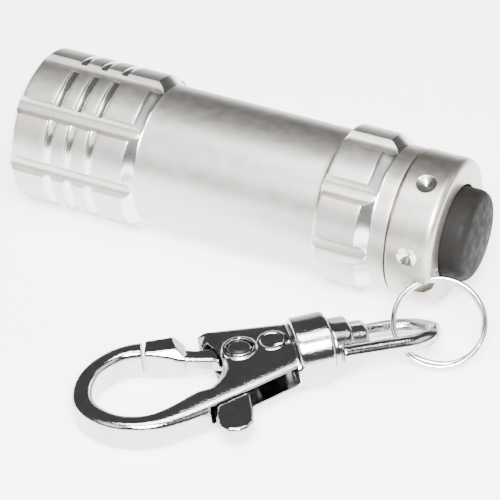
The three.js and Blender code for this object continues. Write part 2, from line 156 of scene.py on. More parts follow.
# %% Material maker
def finish(
    name, colour, rough, metal, grain_scale, grain_strength, depth, tone=(0.94, 1.05), extra=None
):
    """A Principled material whose roughness and colour vary slowly and whose normal has fine grain.

    colour is linear. grain_scale is noise cells per metre, depth the grain's height in metres, and
    tone the limits of the factor that the colour and the roughness are multiplied by.
    """
    m = bpy.data.materials.new(name)
    m.use_nodes = True
    tree = m.node_tree
    shader = tree.nodes["Principled BSDF"]
    shader.inputs["Metallic"].default_value = metal
    for key, value in (extra or {}).items():
        shader.inputs[key].default_value = value
    fine = tree.nodes.new("ShaderNodeGroup")
    fine.node_tree = grain
    fine.inputs["Scale"].default_value = grain_scale
    fine.inputs["Strength"].default_value = grain_strength
    fine.inputs["Distance"].default_value = depth
    tree.links.new(fine.outputs["Normal"], shader.inputs["Normal"])
    slow = tree.nodes.new("ShaderNodeGroup")
    slow.node_tree = mottle
    slow.inputs["Scale"].default_value = grain_scale / 12
    slow.inputs["Low"].default_value = tone[0]
    slow.inputs["High"].default_value = tone[1]
    tint = tree.nodes.new("ShaderNodeVectorMath")
    tint.operation = "SCALE"
    tint.inputs[0].default_value = colour
    tree.links.new(slow.outputs["Value"], tint.inputs["Scale"])
    tree.links.new(tint.outputs["Vector"], shader.inputs["Base Color"])
    rub = tree.nodes.new("ShaderNodeMath")
    rub.operation = "MULTIPLY"
    rub.inputs[0].default_value = rough
    tree.links.new(slow.outputs["Value"], rub.inputs[1])
    tree.links.new(rub.outputs["Value"], shader.inputs["Roughness"])
    return m


satin = finish("satin anodised aluminium", (0.52, 0.50, 0.465), 0.40, 1.0, 9000, 0.35, 0.00001)
satin_cap = finish("warm anodised aluminium", (0.47, 0.445, 0.405), 0.38, 1.0, 9000, 0.35, 0.00001)
bright_cut = finish("bright cut aluminium", (0.72, 0.71, 0.68), 0.20, 1.0, 6000, 0.15, 0.000004)
chrome = finish("polished chrome", (0.50, 0.50, 0.50), 0.085, 1.0, 5200, 0.7, 0.00003, (0.9, 1.1))
wire_steel = finish("polished wire", (0.60, 0.60, 0.60), 0.13, 1.0, 3000, 0.3, 0.00001)
rubber = finish(
    "black rubber", (0.006, 0.0055, 0.005), 0.7, 0.0, 9000, 0.5, 0.00002, (0.8, 1.25),
    {"Specular IOR Level": 0.15},
)
smooth_rubber = finish("smooth black rubber", (0.015, 0.015, 0.015), 0.45, 0.0, 6000, 0.2, 0.00001)
glass = finish(
    "clear lens glass", (0.97, 0.99, 1.0), 0.02, 0.0, 900, 0.03, 0.00001, (0.99, 1.0),
    {"Transmission Weight": 1.0, "IOR": 1.49},
)
mirror = finish("vacuum-metallised reflector", (0.86, 0.86, 0.87), 0.06, 1.0, 2500, 0.25, 0.00001)
phosphor = finish("phosphor under a clear dome", (0.85, 0.66, 0.16), 0.3, 0.0, 8000, 0.3, 0.00001)
board = finish("lacquered circuit board", (0.02, 0.16, 0.06), 0.35, 0.0, 7000, 0.4, 0.00001)
brass = finish("bright brass", (0.80, 0.62, 0.30), 0.22, 1.0, 7000, 0.3, 0.00001)
nickel = finish("nickel-plated steel", (0.68, 0.67, 0.65), 0.24, 1.0, 5000, 0.3, 0.00001)
moulded = finish("moulded black plastic", (0.02, 0.02, 0.022), 0.5, 0.0, 6000, 0.4, 0.00002)
print(len(bpy.data.materials), "materials")

# %% [markdown]
# ## From numbers to meshes

# %% Mesh helpers
def make(name, points, faces, materials, body, nodes, picks=None, crease=32):
    """A mesh object from points in millimetres, riding on body and standing for the CAD nodes."""
    mesh = bpy.data.meshes.new(name)
    mesh.from_pydata((np.asarray(points) * MM).tolist(), [], [list(map(int, f)) for f in faces])
    mesh.validate()
    for m in materials:
        mesh.materials.append(m)
    if picks is not None:
        mesh.polygons.foreach_set("material_index", np.asarray(picks, np.int32))
    mesh.polygons.foreach_set("use_smooth", np.ones(len(mesh.polygons), bool))
    mesh.set_sharp_from_angle(angle=math.radians(crease))
    mesh.update()
    piece = bpy.data.objects.new(name, mesh)
    bpy.context.scene.collection.objects.link(piece)
    if nodes:
        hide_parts(*nodes)
    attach(piece, body)
    print(f"{name}: {len(mesh.vertices)} points, {len(mesh.polygons)} faces")
    return piece


def eased(profile, radius, steps=4):
    """A closed profile with each corner rounded.

    Each corner is replaced by the curve (1-t)^2 A + 2t(1-t) P + t^2 B, where A and B are points at
    the given distance from the corner P, or at 0.4 of the edge if that is less.
    """
    p = np.array(profile, float)
    out = []
    for i, here in enumerate(p):
        before, after = p[i - 1] - here, p[(i + 1) % len(p)] - here
        la, lb = np.linalg.norm(before), np.linalg.norm(after)
        a = here + before / la * min(radius, 0.4 * la)
        b = here + after / lb * min(radius, 0.4 * lb)
        for t in np.linspace(0, 1, steps):
            out.append((1 - t) ** 2 * a + 2 * t * (1 - t) * here + t * t * b)
    return np.array(out)


def divided(profile, longest):
    """The same closed profile with its edges cut into pieces no longer than longest."""
    out = []
    for i, a in enumerate(profile):
        b = profile[(i + 1) % len(profile)]
        n = max(1, int(math.ceil(np.linalg.norm(b - a) / longest)))
        out.extend(a + (b - a) * k / n for k in range(n))
    return np.array(out)


def torus_faces(rows, columns):
    """Quads of a grid that closes both ways. They face out where the profile runs outside to +X."""
    r, c = np.meshgrid(np.arange(rows), np.arange(columns), indexing="ij")
    r2, c2 = (r + 1) % rows, (c + 1) % columns
    quads = [r * columns + c, r * columns + c2, r2 * columns + c2, r2 * columns + c]
    return np.stack(quads, -1).reshape(-1, 4)


def turned(profile, columns=192):
    """A ring of revolution about the torch's axis from a closed profile of (x, r) points."""
    a = np.arange(columns) * 2 * np.pi / columns
    x, r = profile[:, :1], profile[:, 1:]
    grid = np.stack([x + 0 * a, r * np.sin(a), r * np.cos(a)], -1)
    return AXIS + grid.reshape(-1, 3), torus_faces(len(profile), columns)


# %% [markdown]
# ## The torch's body
# The profile is the land radius R along x. Each flute is a round groove along x, cut by a circle
# of radius f whose centre lies c from the axis. At angle p from the middle of a flute its floor is
# at c cos(p) - sqrt(f^2 - c^2 sin^2(p)), and it meets the land at the angle whose cosine is
# (R^2 + c^2 - f^2) / (2 R c). The columns of the grid follow that edge, so it stays crisp.

# %% Body profile
HEAD_R, BARREL_R, COLLAR_R = 10.5, 9.5, 10.53
GROOVES = (5.85, 8.9, 11.97)
outline = [(0, 9.0), (0, HEAD_R - 0.7), (0.7, HEAD_R)]
for x in GROOVES:
    outline += [(x - 0.6, HEAD_R), (x - 0.42, 10.12), (x + 0.42, 10.12), (x + 0.6, HEAD_R)]
outline += [
    (17.0, HEAD_R), (18.3, BARREL_R), (44.2, BARREL_R), (44.75, COLLAR_R), (50.3, COLLAR_R),
    (51.8, BARREL_R), (54.0, BARREL_R), (54.0, 8.6), (46.9, 8.6), (46.9, 7.4), (15.5, 7.4),
    (15.5, 9.0),
]
profile = divided(eased(outline, 0.11, 4), 0.5)
print(len(profile), "rows")


# %% Body surface
def flute_floor(p, centre, radius):
    """Distance from the axis to a flute's floor at angle p from its middle, or a large number."""
    under = radius**2 - (centre * np.sin(p)) ** 2
    return np.where(under > 0, centre * np.cos(p) - np.sqrt(np.maximum(under, 0)), 99.0)


def fluted(profile, count=8, inside=22, land=22):
    """The body's grid: columns gather at the flutes' edges, and the lesser radius counts."""
    x, r = profile[:, 0], profile[:, 1]
    centre = np.where(x < 30, 11.0, 11.25)
    cutter = np.where(x < 30, 1.35, 1.65)
    outer = r > 9.2
    cosine = (r**2 + centre**2 - cutter**2) / (2 * r * centre)
    edge = np.where(outer & (cosine < 1), np.arccos(np.clip(cosine, -1, 1)), 0.0)
    edge = np.maximum(edge, math.radians(0.7))
    u = np.sin(np.linspace(-np.pi / 2, np.pi / 2, inside + 1))
    v = 0.5 - 0.5 * np.cos(np.linspace(0, np.pi, land + 1))[1:-1]
    pitch = 2 * np.pi / count
    offset = np.concatenate([u * edge[:, None], edge[:, None] + v * (pitch - 2 * edge[:, None])], 1)
    floor = flute_floor(offset, centre[:, None], cutter[:, None])
    radius = np.where(outer[:, None], np.minimum(r[:, None], floor), r[:, None])
    angles = np.concatenate([offset + k * pitch for k in range(count)], 1)
    radius = np.tile(radius, (1, count))
    in_flute = np.tile(np.arange(offset.shape[1]) < inside, count)
    along = np.repeat(x[:, None], angles.shape[1], 1)
    return np.stack([along, radius * np.sin(angles), radius * np.cos(angles)], -1), in_flute


grid, in_flute = fluted(profile)
rows, columns = grid.shape[:2]
nxt = np.roll(profile, -1, 0)
mid, run = (profile + nxt) / 2, nxt - profile
sloped = np.abs(run[:, 1]) > 0.2 * np.abs(run[:, 0])
cut_row = (mid[:, 1] > 9.45) & (sloped | ((mid[:, 0] < 14) & (mid[:, 1] < 10.3))) & (mid[:, 0] < 53)
picks = (cut_row[:, None] & ~in_flute[None, :]).astype(int).reshape(-1)
make(
    "body_shell", AXIS + grid.reshape(-1, 3), torus_faces(rows, columns), [satin, bright_cut],
    "torch", ["torch_body"], picks,
)

# %% [markdown]
# ## The head's front
# The front ring holds a flat lens over a parabolic reflector. The reflector's wall follows
# r^2 proportional to the depth, so that a lamp near its floor throws a beam.

# %% Front ring, lens, reflector and lamp
ring_profile = [(0.4, 7.9), (0.4, 8.7), (1.9, 8.7), (1.9, 7.6), (1.1, 7.6)]
points, faces = turned(divided(eased(ring_profile, 0.1), 0.4), 160)
make("lens_ring", points, faces, [satin], "torch", ["front_ring"])

lens_profile = [(2.1, 0.02), (2.1, 8.7), (3.5, 8.7), (3.5, 0.02)]
points, faces = turned(divided(eased(lens_profile, 0.2), 0.6), 128)
make("lens_disc", points, faces, [glass], "torch", ["lens"])

r = np.linspace(7.9, 2.4, 28)
wall = np.stack([12.9 - 8.1 * (r**2 - 2.4**2) / (7.9**2 - 2.4**2), r], 1)
outside = np.stack([wall[::-1, 0] + 0.3, np.minimum(wall[::-1, 1] + 0.65, 8.6)], 1)
outside = outside[outside[:, 0] > 5.9]
cup = np.concatenate([[(5.7, 8.7)], outside[::-1], wall[::-1], [(4.8, 8.7)]])
points, faces = turned(cup, 160)
make("reflector_cup", points, faces[:, ::-1], [mirror], "torch", ["reflector"])

a = np.linspace(0.02, np.pi / 2, 14)
dome = [(13.1 - 1.3 * math.cos(t), 1.3 * math.sin(t)) for t in a]
led_profile = np.array(dome + [(13.12, 1.9), (13.25, 2.0), (13.7, 2.0), (13.7, 0.02)])
points, faces = turned(led_profile, 96)
make("lamp_dome", points, faces, [phosphor], "torch", ["led"])

# %% [markdown]
# ## The tail cap
# Its band is a fine grid. Six drilled dimples are cones: within their rim the distance from the
# axis is 9 + 0.65 d / 1.35, where d is the distance from the dimple's middle along the surface.
# Grid points near a rim are moved onto it. The wire's hole is cut through afterwards.

# %% Cap surface
CAP_R = 9.65
cap = [(47.5, 7.25), (47.5, 8.35), (52.5, 8.35), (52.5, 7.9), (53.5, 7.9), (53.5, 8.35)]
cap += [(54.3, 8.35), (54.3, CAP_R)]
cap += [(59.3 + math.sin(t), 8.65 + math.cos(t)) for t in np.linspace(0, np.pi / 2, 12)]
cap += [(60.3, 6.35), (58.0, 6.35), (58.0, 7.25)]
cap = np.array(cap)
# the first eight and the last three corners are eased, and the arc between them is kept as it is
before, after = eased(cap, 0.12, 3)[: 8 * 3], eased(cap, 0.14, 4)[20 * 4 :]
rounded_cap = np.concatenate([before, cap[8:20], after])
cap_rows = divided(rounded_cap, 0.13)
# inside the cap only every fourth row is kept, as nothing fine is cut there
keep = np.ones(len(cap_rows), bool)
for i in range(1, len(cap_rows)):
    if cap_rows[i, 1] < 9 or cap_rows[i, 0] < 54.2:
        keep[i] = i % 4 == 0 or np.abs(cap_rows[i] - cap_rows[i - 1]).min() > 1e-3
cap_rows = cap_rows[keep]
COLUMNS = 420
angle = np.tile(np.arange(COLUMNS) * 2 * np.pi / COLUMNS, (len(cap_rows), 1))
x = np.repeat(cap_rows[:, :1], COLUMNS, 1)
radius = np.repeat(cap_rows[:, 1:], COLUMNS, 1)
band = radius > CAP_R - 0.02
DIMPLE_X, DIMPLE_R = 57.25, 1.35
dimple = np.zeros(x.shape, bool)
for k in range(6):
    # angle is measured from +Z towards +Y, and the CAD turns from +Z towards -Y
    centre = -math.radians(22.5 + 60 * k)
    across = (angle - centre + np.pi) % (2 * np.pi) - np.pi
    s, t = across * CAP_R, x - DIMPLE_X
    d = np.hypot(s, t)
    for rim in (DIMPLE_R, DIMPLE_R + 0.12):
        near = band & (np.abs(d - rim) < 0.07) & (d > 0)
        scale = np.where(near, rim / np.maximum(d, 1e-6), 1.0)
        angle = np.where(near, centre + across * scale, angle)
        x = np.where(near, DIMPLE_X + t * scale, x)
        d = np.where(near, rim, d)
    inside = band & (d < DIMPLE_R - 1e-4)
    radius = np.where(inside, np.maximum(9.0 + 0.65 * d / DIMPLE_R, 9.06), radius)
    dimple |= band & (d < DIMPLE_R + 0.02)
grid = np.stack([x, radius * np.sin(angle), radius * np.cos(angle)], -1)
faces = torus_faces(len(cap_rows), COLUMNS)
flat = dimple.reshape(-1)
picks = flat[faces].all(1).astype(int)
cap_piece = make(
    "cap_shell", AXIS + grid.reshape(-1, 3), faces, [satin_cap, bright_cut], "tail_cap",
    ["tail_cap"], picks, 24,
)


# %% The wire's hole
def carve(piece, start, end, radius, sides=48):
    """Cuts a round hole from start to end out of a piece, with an exact boolean."""
    along = vector(end - start)
    p = vector(np.cross(along, [0, 0, 1]))
    q = np.cross(along, p)
    t = np.arange(sides) * 2 * np.pi / sides
    ring = radius * (np.cos(t)[:, None] * p + np.sin(t)[:, None] * q)
    points = np.concatenate([start + ring, end + ring])
    sidewalls = [[i, (i + 1) % sides, (i + 1) % sides + sides, i + sides] for i in range(sides)]
    lids = [list(range(sides))[::-1], list(range(sides, 2 * sides))]
    mesh = bpy.data.meshes.new("cutter")
    mesh.from_pydata((points * MM).tolist(), [], sidewalls + lids)
    cutter = bpy.data.objects.new("cutter", mesh)
    bpy.context.scene.collection.objects.link(cutter)
    step = piece.modifiers.new("hole", "BOOLEAN")
    step.operation = "DIFFERENCE"
    step.solver = "EXACT"
    step.object = cutter
    graph = bpy.context.evaluated_depsgraph_get()
    made = bpy.data.meshes.new_from_object(piece.evaluated_get(graph))
    piece.modifiers.clear()
    piece.data = made
    bpy.data.objects.remove(cutter)
    print(piece.name, "after the cut:", len(made.polygons), "faces")


hole_mid = np.array(joints["ring_swing"]["pos_m"]) / MM
hole_way = vector(joints["ring_swing"]["axis"])
carve(cap_piece, hole_mid - 4.4 * hole_way, hole_mid + 3.9 * hole_way, 1.12)

# %% Button
arc = np.linspace(0, math.radians(75), 16)
top = [(62.1 + 1.3 * math.sin(t), 4.8 + 1.3 * math.cos(t)) for t in arc]
crown = [(63.9 - 0.55 * (q / 5.14) ** 2, q) for q in np.linspace(4.7, 0.02, 16)]
foot = [(56.9, 0.02), (56.9, 6.95), (57.75, 6.95), (57.75, 6.1), (59.5, 6.1)]
button_profile = foot + top + crown
points, faces = turned(divided(np.array(button_profile), 0.5), 160)
make("button_dome", points, faces, [rubber], "button", ["push_button"])


# %% [markdown]
# ## Wires
# A wire is a circle carried along a curve. Its frame is carried along without twist, by turning
# the last cross direction as little as possible, and its ends close in a half ball.

# %% Wire sweep and the split ring
def swept(path, radius, sides=20, cap_steps=5):
    """Points and faces of a round wire along a path of points, with domed ends."""
    p = np.asarray(path, float)
    way = np.gradient(p, axis=0)
    way /= np.linalg.norm(way, axis=1)[:, None]
    centres, radii, ways = list(p), [radius] * len(p), list(way)
    for end, sign in ((0, -1), (-1, 1)):
        for k in range(1, cap_steps + 1):
            t = k / cap_steps * np.pi / 2 * 0.97
            c = p[end] + sign * way[end] * radius * math.sin(t)
            at = 0 if sign < 0 else len(centres)
            centres.insert(at, c)
            radii.insert(at, radius * math.cos(t))
            ways.insert(at, way[end])
    normal = vector(np.cross(ways[0], [0.3, 0.2, 0.9]))
    rings = []
    t = np.arange(sides) * 2 * np.pi / sides
    for c, w, r in zip(centres, ways, radii):
        normal = vector(normal - w * np.dot(normal, w))
        across = np.cross(w, normal)
        rings.append(c + r * (np.cos(t)[:, None] * normal + np.sin(t)[:, None] * across))
    n = len(rings)
    i, j = np.meshgrid(np.arange(n - 1), np.arange(sides), indexing="ij")
    j2 = (j + 1) % sides
    quads = np.stack([i * sides + j, i * sides + j2, (i + 1) * sides + j2, (i + 1) * sides + j], -1)
    faces = quads.reshape(-1, 4).tolist()
    faces.append(list(range(sides))[::-1])
    faces.append(list(range((n - 1) * sides, n * sides)))
    return np.concatenate(rings), faces


TILT_AXIS = vector(np.cross([0, 0, 1], RING_N))
TILT_COS, TILT_SIN = RING_N[2], math.sqrt(1 - RING_N[2] ** 2)


def carried(v):
    """v turned by the shortest turn from +Z to the ring's normal (Rodrigues' formula)."""
    v = np.asarray(v, float)
    turned_part = v * TILT_COS + np.cross(TILT_AXIS, v) * TILT_SIN
    return turned_part + TILT_AXIS * np.dot(TILT_AXIS, v) * (1 - TILT_COS)


RX, RY = carried([1, 0, 0]), carried([0, 1, 0])
LOWEST = math.atan2(-RY[2], -RX[2])
print("lowest point of the ring at", round(math.degrees(LOWEST)), "degrees")
t = np.linspace(0, 1, 260)
turn = t * 1.93
angle = (turn + 0.04) * 2 * np.pi
ramp = np.clip((turn - 0.74) / 0.22, 0, 1)
lift = RING_WIRE * 2.08 * (ramp**2 * (3 - 2 * ramp)) - RING_WIRE * 1.04
# the first turn springs inward on the side that hangs lowest, so the two turns part there
splay = 0.75 * (0.5 + 0.5 * np.cos(angle - LOWEST)) ** 3 * (1 - ramp)
around = np.cos(angle)[:, None] * RX + np.sin(angle)[:, None] * RY
path = RING_O + (RING_R - splay)[:, None] * around + lift[:, None] * RING_N
points = swept(path, RING_WIRE, 20)
make("ring_wire", points[0], points[1], [wire_steel], "ring", ["split_ring"])


# %% [markdown]
# ## Cast pieces as distance fields
# A field gives the distance to the metal, negative inside. A plate is an outline with a height
# and rounded rims. Two fields join with a fillet, or cut each other with a rounded edge, by the
# smooth minimum min(a, b) - h^2 / (4 k) with h = max(k - |a - b|, 0).

# %% Field helpers
def melt(a, b, k):
    """Smooth union of two fields with a fillet of about k."""
    h = np.maximum(k - np.abs(a - b), 0)
    return np.minimum(a, b) - h * h / (4 * k)


def trim(a, b, k):
    """a kept only where b is negative, with the new edge rounded over about k."""
    return -melt(-a, -b, k)


def to_line(x, y, points, closed):
    """Distance to a polyline, and for a closed one its sign: the winding rule gives the inside."""
    p = np.asarray(points, float)
    q = np.roll(p, -1, 0) if closed else p[1:]
    p = p if closed else p[:-1]
    best = np.full(np.broadcast(x, y).shape, 1e9)
    inside = np.zeros(best.shape, bool)
    for (x0, y0), (x1, y1) in zip(p, q):
        dx, dy = x1 - x0, y1 - y0
        t = np.clip(((x - x0) * dx + (y - y0) * dy) / (dx * dx + dy * dy), 0, 1)
        best = np.minimum(best, (x - x0 - t * dx) ** 2 + (y - y0 - t * dy) ** 2)
        if closed and dy != 0:
            crosses = (y0 > y) != (y1 > y)
            inside ^= crosses & (x < x0 + (y - y0) * dx / dy)
    best = np.sqrt(best)
    return np.where(inside, -best, best) if closed else best


def slab(d, h, half, rim):
    """An outline's distance d raised to +-half, with its rims rounded by a circle of radius rim."""
    x, y = d + rim, np.abs(h) - half + rim
    return np.minimum(np.maximum(x, y), 0) + np.hypot(np.maximum(x, 0), np.maximum(y, 0)) - rim


def drum(s, r, start, end, radius, rim):
    """A cylinder from start to end with rounded rims, at s along its axis and r from it."""
    x, y = r - radius + rim, np.abs(s - (start + end) / 2) - (end - start) / 2 + rim
    return np.minimum(np.maximum(x, y), 0) + np.hypot(np.maximum(x, 0), np.maximum(y, 0)) - rim


def curve(points, count):
    """A smooth curve through points: Catmull-Rom, count samples."""
    p = np.array(points, float)
    p = np.concatenate([[2 * p[0] - p[1]], p, [2 * p[-1] - p[-2]]])
    out = []
    for t in np.linspace(0, len(p) - 3, count):
        i = min(int(t), len(p) - 4)
        f = t - i
        a, b, c, d = p[i : i + 4]
        square, cube = 2 * a - 5 * b + 4 * c - d, 3 * b - a - 3 * c + d
        out.append(0.5 * (2 * b + (c - a) * f + square * f**2 + cube * f**3))
    return np.array(out)


# %% Surface of a field
PROBE = 0.02  # mm either side of a point when the field's gradient is measured


def skin(field, low, high, step):
    """The zero surface of a field as quads.

    The field is sampled on a grid. Each cell with both signs at its corners gets one point, the
    mean of the places where its edges cross zero, which is then moved along the field's gradient
    onto the surface. Each grid edge that crosses zero gives a quad of its four cells' points.
    """
    low, high = np.array(low, float), np.array(high, float)
    n = np.ceil((high - low) / step).astype(int) + 1
    axes = [low[i] + step * np.arange(n[i]) for i in range(3)]
    v = field(axes[0][:, None, None], axes[1][None, :, None], axes[2][None, None, :])
    v = np.broadcast_to(v, n).copy()
    v[np.abs(v) < 1e-6] = 1e-6
    solid = v < 0
    corner = [(i, j, k) for i in (0, 1) for j in (0, 1) for k in (0, 1)]
    m = n - 1
    count = sum(solid[i : i + m[0], j : j + m[1], k : k + m[2]].astype(int) for i, j, k in corner)
    cells = np.argwhere((count > 0) & (count < 8))
    number = np.full(m, -1)
    number[tuple(cells.T)] = np.arange(len(cells))
    total, hits = np.zeros((len(cells), 3)), np.zeros(len(cells))
    for axis in range(3):
        for c in corner:
            if c[axis]:
                continue
            e = list(c)
            e[axis] = 1
            a = v[tuple((cells + c).T)]
            b = v[tuple((cells + e).T)]
            crossing = (a < 0) != (b < 0)
            f = np.where(crossing, a / np.where(crossing, a - b, 1), 0)
            place = np.array(c) + f[:, None] * (np.array(e) - np.array(c))
            total += np.where(crossing[:, None], place, 0)
            hits += crossing
    points = low + step * (cells + total / hits[:, None])
    start = points.copy()
    for _ in range(3):
        here = field(*points.T)
        rise = [field(*(points + d).T) - field(*(points - d).T) for d in PROBE * np.eye(3)]
        slope = np.stack(rise, 1) / (2 * PROBE)
        move = -here[:, None] * slope / np.maximum((slope**2).sum(1), 0.2)[:, None]
        points = start + np.clip(points + 0.8 * move - start, -0.55 * step, 0.55 * step)
    faces = []
    for axis in range(3):
        b1, b2 = (axis + 1) % 3, (axis + 2) % 3
        lo = [slice(None)] * 3
        hi = [slice(None)] * 3
        lo[axis], hi[axis] = slice(0, -1), slice(1, None)
        change = solid[tuple(lo)] != solid[tuple(hi)]
        edges = np.argwhere(change)
        e1, e2 = edges[:, b1], edges[:, b2]
        edges = edges[(e1 > 0) & (e2 > 0) & (e1 < m[b1]) & (e2 < m[b2])]
        into = solid[tuple(edges.T)]
        d1, d2 = np.eye(3, dtype=int)[b1], np.eye(3, dtype=int)[b2]
        quad = np.stack([number[tuple((edges - o).T)] for o in (d1 + d2, d2, 0 * d1, d1)], 1)
        faces.append(np.where(into[:, None], quad, quad[:, ::-1]))
    return points, np.concatenate(faces)


def placed(points, origin, a, b, c):
    """Points of a piece's own axes in the torch's frame."""
    return origin + points[:, :1] * a + points[:, 1:2] * b + points[:, 2:] * c


# %% [markdown]
# ## The hook's casting
# Its outline is two smooth curves, the outer and the inner edge of the hoop, and the plate that
# carries the gate. The near edge of its top face falls away in a wide soft bevel, and a scoop
# thins the plate where the gate's arm comes out. The hoop's end is cut square to its own
# direction, and the collar's face square to the swivel.

# %% Hook outlines
HOOP_OUT = curve(
    [(-19.6, 6.9), (-21.8, 7.05), (-24.2, 6.6), (-26.8, 5.2), (-28.9, 3.0), (-30.1, 0.3),
     (-30.3, -2.4), (-29.3, -5.1), (-27.1, -7.6), (-24.3, -9.1), (-21.2, -9.55), (-18, -9.15),
     (-14, -8.2)], 60,
)
HOOP_IN = curve(
    [(-12.9, 4.4), (-12.2, 2.6), (-11.9, 0.9), (-12, -0.8), (-12.8, -2.4), (-14.2, -3.8),
     (-16.5, -5.2), (-19.4, -6.5), (-22, -7.0), (-24.7, -6.2), (-26.6, -4.4), (-27.6, -2.2),
     (-27.4, 0.2), (-26.3, 2.5), (-24.3, 4.0), (-22.2, 4.6), (-20.3, 4.3)], 80,
)
PLATE = [(-0.8, -4.2), (-0.8, 4.1), (-11.6, 6.05), (-12.9, 5.6), *HOOP_IN, (-18.4, 3.75),
         (-17.8, 6.6), *HOOP_OUT, (-8, -6.5)]
END_AT, END_WAY = np.array([-20.3, 4.3]), np.array([0.966, -0.26])
SLOT = [(-14.9, -12), (-2.4, -12), (-2.4, 1.6), (-5.2, 3.6), (-8, 4.1), (-13.5, 4.4), (-17, 4.4),
        (-17, -1), (-12.3, -3.4), (-14.3, -7)]
HALF, RIM, SLOT_HALF = 2.05, 0.95, 1.15
BEVEL_AT = np.array([-14.0, -8.2])
BEVEL_OUT = vector([0.290, -0.957])
HOOK_AXES = (HOOK_O, HOOK_A, HOOK_B, HOOK_UP)
# how far a point lies along the swivel for each millimetre along the hook's own three axes
SWIVEL_SHARE = (EYE_S @ HOOK_A, EYE_S @ HOOK_B, EYE_S @ HOOK_UP)
print(len(PLATE), "outline points")


# %% Hook field
def casting(a, b, h):
    """The hook: plate, collar and rivet boss joined, less the bevel, scoop, slot and bores."""
    body = slab(to_line(a, b, PLATE, True), h, HALF, RIM)
    out = (a - BEVEL_AT[0]) * BEVEL_OUT[0] + (b - BEVEL_AT[1]) * BEVEL_OUT[1]
    bevel = (out + 1.7 * (h - HALF) + 1.75) / math.hypot(1, 1.7)
    body = trim(body, bevel, 0.7)
    end = (a - END_AT[0]) * END_WAY[0] + (b - END_AT[1]) * END_WAY[1]
    body = trim(body, np.where((a < -15.5) & (b > 2), end, -1.0), 0.3)
    wall = to_line(a, b, HOOP_IN[:36], False)
    fade = np.clip((a + 16.5) / 3.0, 0, 1)
    depth, width = 1.7 * fade + 1e-3, 1.6 * fade + 1e-3
    scoop = (h - HALF + depth - depth / width * wall) / np.sqrt(1 + (depth / width) ** 2)
    scoop = np.where((a > -16.5) & (b < 5.6), scoop, -1.0)
    body = trim(body, scoop, 0.35)
    r = np.hypot(b, h)
    collar = drum(a, r, -1.9, 3.4, 4.55, 0.42)
    body = melt(body, collar, 0.35)
    s = a * SWIVEL_SHARE[0] + b * SWIVEL_SHARE[1] + h * SWIVEL_SHARE[2]
    body = trim(body, s - 2.0, 0.35)
    around = np.hypot(a - PIVOT_A, b - PIVOT_B)
    boss = drum(h, around, -HALF - 0.24, HALF + 0.24, 2.2, 0.16)
    body = melt(body, boss, 0.12)
    body = trim(body, -drum(h, around, -4, 4, 1.72, 0.02), 0.1)
    blank = np.hypot(np.hypot(a + 4.3, b - 1.0) - 1.65, h - HALF) - 0.16
    body = melt(body, blank, 0.15)
    slot = slab(to_line(a, b, SLOT, True), h, SLOT_HALF, 0.12)
    body = trim(body, -slot, 0.18)
    body = trim(body, -drum(a, r, -3.2, 3.6, 1.25, 0.02), 0.15)
    return trim(body, -drum(a, r, -4.3, -1.95, 1.9, 0.02), 0.1)


points, faces = skin(casting, (-31, -10.2, -4.9), (3.6, 7.8, 4.9), 0.17)
make(
    "hook_casting", placed(points, *HOOK_AXES), faces, [chrome], "hook", ["hook_body"],
    None, 60,
)

# %% Gate
ARM = [(-16.5, 2.9), (-12, 1.2), (-11.1, 0.5), (-11.2, -1.4), (-13.7, -7.5), (-14.1, -10.5),
       (-13.6, -11.9), (-12.5, -12.6), (-11.0, -12.5), (-9.9, -11.6), (-9.4, -9.6), (-9.0, -6.5),
       (-7.2, -1.3), (-6.2, 0.4), (-6.6, 2.4), (-8.3, 3.3), (-11, 3.6), (-13.4, 3.9), (-16.5, 5.4)]
NOSE = [(-20.6, 4.35), (-18.6, 3.7), (-15.4, 2.5), (-14.6, 3.4), (-14.4, 5.4), (-15.2, 6.35),
        (-18.6, 6.7), (-20.2, 6.8)]
PADDLE = [(-13.4, -6.8), (-14.1, -9.4), (-14.0, -11.2), (-13.3, -12.3), (-12.0, -12.8),
          (-10.8, -12.5), (-9.9, -11.5), (-9.5, -9.4), (-9.1, -6.8)]


def lever(a, b, h):
    """The gate: its arm in the slot, the nose that meets the hoop's end, and the thumb paddle."""
    reach = np.minimum(to_line(a, b, ARM, True), to_line(a, b, PADDLE, True))
    arm = slab(reach, h, 1.0, 0.5)
    nose = slab(to_line(a, b, NOSE, True), h, 1.95, 0.4)
    nose = trim(nose, 0.33 - (a - END_AT[0]) * END_WAY[0] - (b - END_AT[1]) * END_WAY[1], 0.3)
    nose = trim(nose, ((a + 15.9) + (h - 1.95)) / math.sqrt(2), 0.2)
    near = (-(b - 3.0 + 0.18 * (a + 17)) + (h - 1.95) + 0.9) / math.sqrt(2)
    nose = trim(nose, near, 0.2)
    body = melt(arm, nose, 0.4)
    around = np.hypot(a - PIVOT_A, b - PIVOT_B)
    body = trim(body, -drum(h, around, -4, 4, 1.72, 0.02), 0.1)
    return trim(body, -drum(h, around, 0.02, 1.22, 2.75, 0.02), 0.1)


points, faces = skin(lever, (-20.2, -13.4, -2.3), (-5.6, 7.4, 2.3), 0.14)
make(
    "gate_lever", placed(points, *HOOK_AXES), faces, [chrome], "gate", ["hook_gate"],
    None, 60,
)


# %% Rivet
def pin(a, b, h):
    """The rivet: a pin with shallow dished heads."""
    around = np.hypot(a, b)
    body = drum(h, around, -HALF - 0.12, HALF + 0.12, 1.5, 0.2)
    for sign in (1, -1):
        dish = np.sqrt(around**2 + (sign * h - HALF - 4.0) ** 2) - 4.02
        body = trim(body, -dish, 0.15)
    return body


points, faces = skin(pin, (-1.8, -1.8, -2.5), (1.8, 1.8, 2.5), 0.1)
make(
    "rivet_pin", placed(points + [PIVOT_A, PIVOT_B, 0], *HOOK_AXES), faces, [chrome],
    "hook", ["gate_rivet"], None, 60,
)

# %% [markdown]
# ## The swivel eye
# A collar and a smaller step stand on the shaft. A round bar bent to a pointed arch springs from
# the collar's sides.

